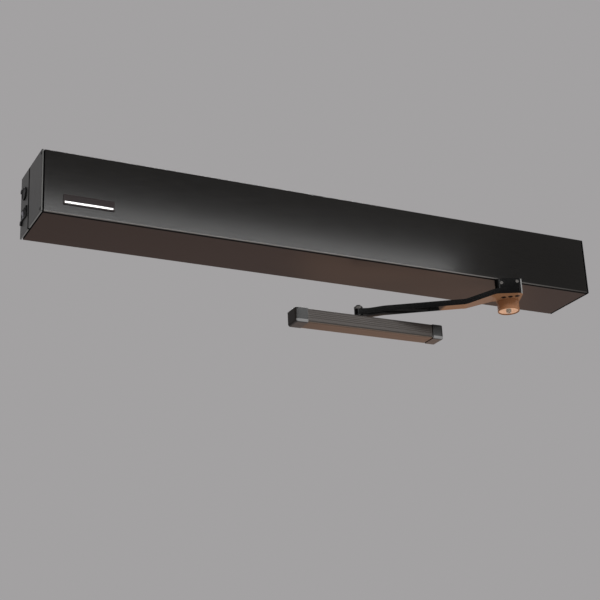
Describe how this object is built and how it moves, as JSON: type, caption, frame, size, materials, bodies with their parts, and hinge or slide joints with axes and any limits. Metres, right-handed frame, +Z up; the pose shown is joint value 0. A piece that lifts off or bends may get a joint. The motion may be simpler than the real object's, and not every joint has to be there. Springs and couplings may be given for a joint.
{
  "type": "door closer",
  "caption": "Powered door closer: long box header over the door, offset cast head and cranked arm below it, and a grooved slide track for the door leaf.",
  "frame": {"origin": "centre of the back plate's wall face", "axes": "+X along the header towards the spindle end, +Y into the wall, +Z up"},
  "size_m": [1.0158, 0.139, 0.194],
  "materials": {
    "dark_bronze": "satin dark bronze anodised aluminium",
    "end_plate": "satin dark grey",
    "plaque": "gloss, very dark red",
    "bright_trim": "polished",
    "zinc_steel": "zinc plated",
    "black_screw": "black oxide",
    "bright_screw": "bright zinc",
    "arm_black": "gloss black enamel",
    "hub_bronze": "gloss bronze-brown",
    "polished_washer": "turned and polished",
    "ground_steel": "ground and oiled",
    "bronze_bush": "sintered bronze",
    "spring_steel": "dark spring steel",
    "track_bronze": "satin bronze-grey anodised",
    "black_plastic": "fine grain",
    "grey_plastic": "light grey moulding",
    "white_nylon": "natural nylon",
    "rubber": "matte",
    "circuit_green": "solder mask",
    "relay_blue": "moulded",
    "capacitor_sleeve": "sleeved",
    "terminal_green": "moulded",
    "laminated_steel": "laminated, varnished",
    "winding": "varnished copper winding",
    "magnet": "ferrite",
    "motor_shell": "black e-coat"
  },
  "bodies": {
    "header": {"back_plate": "zinc_steel", "cover": "dark_bronze", "left_cover_cap": "end_plate", "right_cover_cap": "end_plate", "left_end_bracket": "end_plate", "right_end_bracket": "end_plate", "cover_cap_screws": "black_screw", "end_bracket_screws": "black_screw", "name_plate": "plaque", "name_plate_stripe": "bright_trim", "switch_housing": "black_plastic", "knockout_plug": "black_plastic", "conduit_bush": "black_plastic", "chassis": "zinc_steel", "chassis_screws": "bright_screw", "gear_case_cover": "zinc_steel", "motor_plate": "zinc_steel", "plate_standoffs": "ground_steel", "plate_screws": "black_screw", "spindle_bearings": "bronze_bush", "drive_bearings": "bronze_bush", "rack_guides": "white_nylon", "spindle_dust_ring": "black_plastic", "spring_plug": "ground_steel", "spring_rod": "ground_steel", "spring_adjuster_nut": "zinc_steel", "closing_spring": "spring_steel", "stator_magnets": "magnet", "motor_can": "motor_shell", "control_board": "circuit_green", "board_relays": "relay_blue", "board_capacitors": "capacitor_sleeve", "terminal_block": "terminal_green", "transformer_core": "laminated_steel", "transformer_coil": "winding", "switch_lead": "black_plastic", "motor_lead": "black_plastic"},
    "rack": {"rack_bar": "ground_steel", "spring_seat": "ground_steel"},
    "drive_shaft": {"drive_pinion_shaft": "ground_steel", "drive_gear": "ground_steel"},
    "rotor": {"rotor_shaft": "ground_steel", "rotor_core": "laminated_steel"},
    "arm": {"pinion_spindle": "ground_steel", "arm_head": "arm_black", "arm_bar": "arm_black", "arm_hub": "hub_bronze", "hub_disc": "polished_washer", "hub_bolt": "bright_screw", "head_plate_screws": "black_screw", "head_clamp_screws": "bright_screw", "arm_pin": "bright_screw", "arm_pin_nut": "bright_screw"},
    "slider": {"slider_block": "white_nylon"},
    "track": {"track_channel": "track_bronze", "track_cap_left": "black_plastic", "track_cap_right": "black_plastic", "track_bumpers": "rubber"},
    "power_switch": {"power_rocker": "black_plastic"},
    "mode_switch": {"mode_rocker": "grey_plastic"}
  },
  "joints": [
    {"name": "arm_swing", "type": "hinge", "parent": "header", "child": "arm", "pos_m": [0.34, -0.093, -0.05], "axis": [0, 0, 1], "range_deg": [0, 160], "stiffness_Nm_per_rad": 6, "springref_deg": -28.65},
    {"name": "rack_slide", "type": "slide", "parent": "header", "child": "rack", "axis": [1, 0, 0], "range_m": [-0.0392, 0], "deforming": ["closing_spring"]},
    {"name": "drive_spin", "type": "hinge", "parent": "header", "child": "drive_shaft", "pos_m": [0.26, -0.047, 0], "axis": [0, 0, 1], "range_deg": [-160.5, 0]},
    {"name": "rotor_spin", "type": "hinge", "parent": "header", "child": "rotor", "pos_m": [0.224, -0.047, 0], "axis": [0, 0, 1], "range_deg": [0, 801]},
    {"name": "pin_swivel", "type": "hinge", "parent": "arm", "child": "slider", "pos_m": [0.08264, -0.01505, -0.125], "axis": [0, 0, 1], "range_deg": [-60, 15]},
    {"name": "track_slide", "type": "slide", "parent": "slider", "child": "track", "axis": [1, 0, 0], "range_m": [-0.104, 0.0735]},
    {"name": "power_rocker_tilt", "type": "hinge", "parent": "header", "child": "power_switch", "pos_m": [-0.5, -0.0286, -0.0177], "axis": [0, 1, 0], "range_deg": [0, 20]},
    {"name": "mode_rocker_tilt", "type": "hinge", "parent": "header", "child": "mode_switch", "pos_m": [-0.5, -0.018, -0.0177], "axis": [0, 1, 0], "range_deg": [0, 20]}
  ],
  "couplings": [
    {"joint": "rack_slide", "follows": "arm_swing", "m_per_rad": -0.014},
    {"joint": "drive_spin", "follows": "arm_swing", "ratio": -1},
    {"joint": "rotor_spin", "follows": "arm_swing", "ratio": 5}
  ]
}
